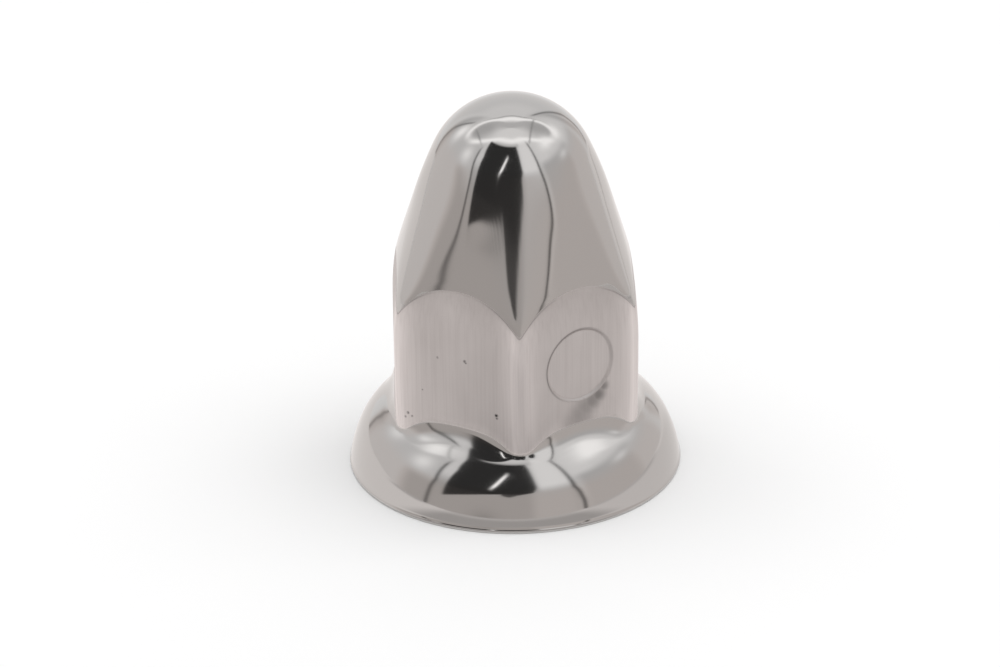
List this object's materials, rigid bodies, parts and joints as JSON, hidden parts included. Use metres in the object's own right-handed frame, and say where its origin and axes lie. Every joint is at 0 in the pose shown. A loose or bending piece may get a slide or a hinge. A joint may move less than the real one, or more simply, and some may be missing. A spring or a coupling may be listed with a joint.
{
  "type": "lug nut cover",
  "caption": "Push-on wheel nut cover in drawn stainless sheet: hexagon barrel with a bullet dome, a round bell flange at the open end and a sunk disc on one flat.",
  "frame": {"origin": "middle of the open end, in the plane of the rim's cut edge", "axes": "+Z along the axis from the open end to the nose; one hexagon corner points to -Y and two flats face +X and -X; the stamped flat faces 60 degrees from +X towards -Y"},
  "size_m": [0.0496, 0.0496, 0.0573],
  "materials": {
    "stainless_sheet": "polished dome and flange, satin flats with fine upright draw lines"
  },
  "bodies": {
    "root": {"cover_shell": "stainless_sheet"}
  },
  "joints": []
}
